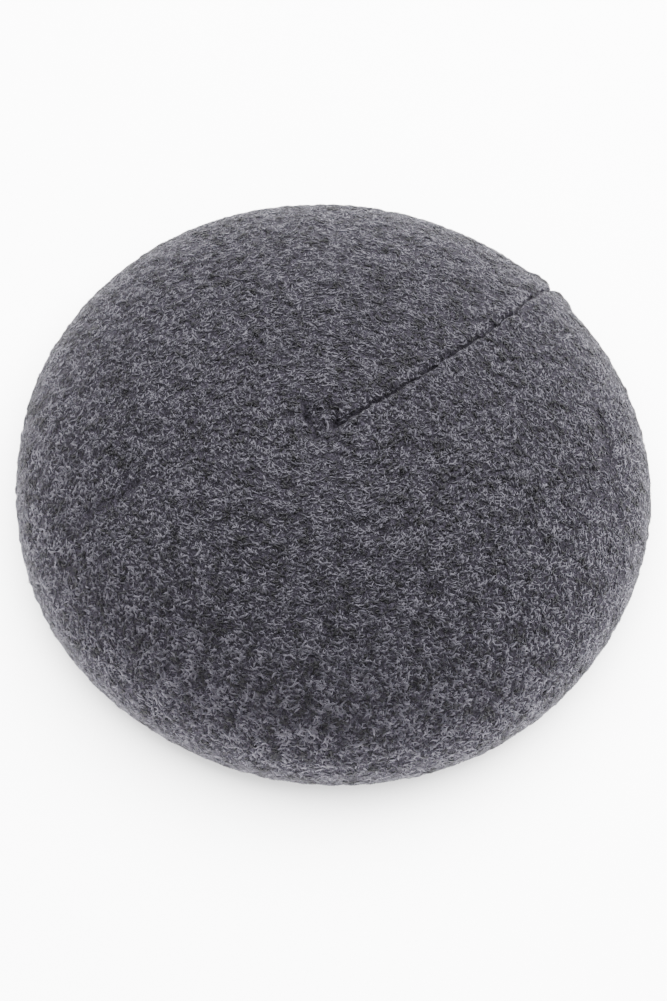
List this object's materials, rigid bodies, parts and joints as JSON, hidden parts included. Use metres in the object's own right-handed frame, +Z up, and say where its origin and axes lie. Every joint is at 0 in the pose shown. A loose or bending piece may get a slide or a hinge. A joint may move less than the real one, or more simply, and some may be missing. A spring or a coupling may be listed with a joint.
{
  "type": "knit beret",
  "caption": "Round felted-knit wool beret with a domed crown, a gathered middle and one radial seam, lying on its open side.",
  "frame": {"origin": "middle of the flat ring round the head opening that the beret rests on, at the bottom centre of its box", "axes": "+Z up through the crown, the beret's thinnest way; +Y away from the viewer's side, +X to the right; the seam runs out between +X and +Y"},
  "size_m": [0.2801, 0.2805, 0.0698],
  "materials": {
    "felted_wool": "felted marl knit, matte, with a short nap"
  },
  "bodies": {
    "root": {"crown": "felted_wool"}
  },
  "joints": []
}
